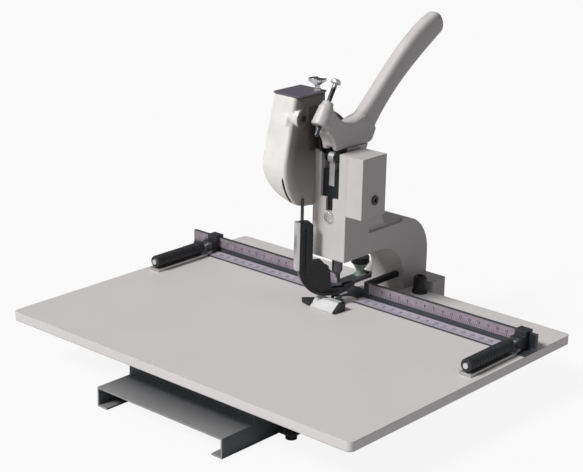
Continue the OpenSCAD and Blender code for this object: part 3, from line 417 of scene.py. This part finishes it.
hopper_body = body_of("hopper_body")
piece("hopper_seam", ring_mesh("hopper_seam", seam_rings(8, 46, 1.4)), hopper_body,
      material("seam", (0.03, 0.03, 0.03), 0.7, vary=0.2, bevel=0.0))
# Socket in the end of the hopper's round boss, painted near black as painted shade in its hole
SOCKET = Matrix.Translation(Vector((-15.5, PUNCH_Y - 34, DECK_Z + 181)) * MM)
SOCKET_PROFILE = [(3.1, -3.0), (3.1, -0.2), (2.7, 0.1), (2.3, -0.1), (2.0, -1.2), (0.05, -1.4)]
piece("boss_socket_shade", ring_mesh("boss_socket_shade", lathe_rings(SOCKET_PROFILE, SOCKET)), hopper_body,
      material("socket", (0.025, 0.025, 0.025), 0.6, vary=0.2, bevel=0.0))

# ---------------------------------------------------------------- thread of the adjusting screw
BOSS = Vector((0, PUNCH_Y - 30.5, DECK_Z + 176.5)) * MM
LEAN = Matrix.Translation(BOSS) @ Matrix.Rotation(math.radians(-30), 4, "X")


def thread_rings(z0, z1, pitch, inner, outer, place):
    """A helical ridge from z0 to z1 along a screw's own axis, fading out at its ends."""
    a_turn, fade_steps, sunk, half_foot = 20, 10, 0.15, pitch * 0.42
    turns = (z1 - z0) / pitch
    steps = round(turns * a_turn)
    for k in range(steps + 1):
        a = 2 * math.pi * turns * k / steps
        z = z0 + (z1 - z0) * k / steps
        crest = inner + (outer - inner) * min(1.0, k / fade_steps, (steps - k) / fade_steps)
        section = [(inner - sunk, z - half_foot), (crest, z), (inner - sunk, z + half_foot)]
        yield [place @ (Vector((r * math.cos(a), r * math.sin(a), h)) * MM) for r, h in section]


piece("adjusting_thread", ring_mesh("adjusting_thread", thread_rings(24.2, 40.6, 0.8, 1.95, 2.3, LEAN)),
      body_of("adjusting_screw"),
      material("dark_thread", (0.035, 0.03, 0.032), 0.35, metal=0.6, vary=0.2, grain=120, bevel=0.0))

# ---------------------------------------------------------------- scale marks
ink = material("ink", (0.03, 0.03, 0.035), 0.6, vary=0.2, grain=200, bevel=0.0)
# Marks every 2 mm with a longer one every 10 mm; half widths in mm, heights as shares of the size
STEP, LONG_STEP = 2, 10
MARK_HALF, LONG_HALF, MARK_TALL, LONG_TALL = 0.18, 0.26, 0.34, 0.5
# Numerals: width, height and foot as shares of the size, and how much their strokes are thickened
NUMERAL_WIDE, NUMERAL_TALL, NUMERAL_FOOT, NUMERAL_STROKE = 0.55, 0.5, 0.52, 0.025


def marks(name, x0, x1, place, size):
    """Millimetre marks and generic numerals from x0 to x1; place(x, h) gives a point on the scale."""
    b = bmesh.new()
    for k in range(math.ceil(x0 / STEP), math.floor(x1 / STEP) + 1):
        x = k * STEP
        is_long = x % LONG_STEP == 0
        tall = size * (LONG_TALL if is_long else MARK_TALL)
        half = LONG_HALF if is_long else MARK_HALF
        points = [place(x + sx * half, h) for sx, h in ((-1, 0), (1, 0), (1, tall), (-1, tall))]
        b.faces.new([b.verts.new(Vector(c) * MM) for c in points])
    for k in range(math.ceil(x0 / LONG_STEP) + 1, math.floor(x1 / LONG_STEP)):
        if k == 0:
            continue
        curve = bpy.data.curves.new("numeral", "FONT")
        curve.body = str(abs(k))
        curve.size = 1.0
        curve.align_x = "CENTER"
        curve.offset = NUMERAL_STROKE
        holder = bpy.data.objects.new("numeral", curve)
        bpy.context.scene.collection.objects.link(holder)
        flat = bpy.data.meshes.new_from_object(holder)
        bpy.data.objects.remove(holder)
        tmp = bmesh.new()
        tmp.from_mesh(flat)
        verts = {}
        for v in tmp.verts:
            x = k * LONG_STEP + v.co.x * size * NUMERAL_WIDE
            h = size * (NUMERAL_FOOT + v.co.y * NUMERAL_TALL)
            verts[v] = b.verts.new(Vector(place(x, h)) * MM)
        for f in tmp.faces:
            b.faces.new([verts[v] for v in f.verts])
        tmp.free()
        bpy.data.meshes.remove(flat)
        bpy.data.curves.remove(curve)
    mesh = bpy.data.meshes.new(name)
    b.to_mesh(mesh)
    b.free()
    piece(name, mesh, "fence", ink)


def box_mm(node):
    """The two corners of a CAD node's box, in mm."""
    return [[v * 1000 for v in corner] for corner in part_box(node)]


lower_lo, lower_hi = box_mm("lower_scale")
upper_lo, upper_hi = box_mm("upper_scale")
# Distance of the ink from a scale's face, and of the marks' foot from its edge
INK_GAP, LOWER_FOOT, UPPER_FOOT = 0.03, 1, 0.6


def on_lower(x, h):
    return x, lower_lo[1] + LOWER_FOOT + h, lower_hi[2] + INK_GAP


def on_upper(x, h):
    return x, upper_lo[1] - INK_GAP, upper_lo[2] + UPPER_FOOT + h


marks("lower_marks_left", lower_lo[0] + 2, -9, on_lower, 8.5)
marks("lower_marks_right", 9, lower_hi[0] - 2, on_lower, 8.5)
marks("upper_marks_left", upper_lo[0] + 2, -25, on_upper, 6.5)
marks("upper_marks_right", 14, upper_hi[0] - 2, on_upper, 6.5)
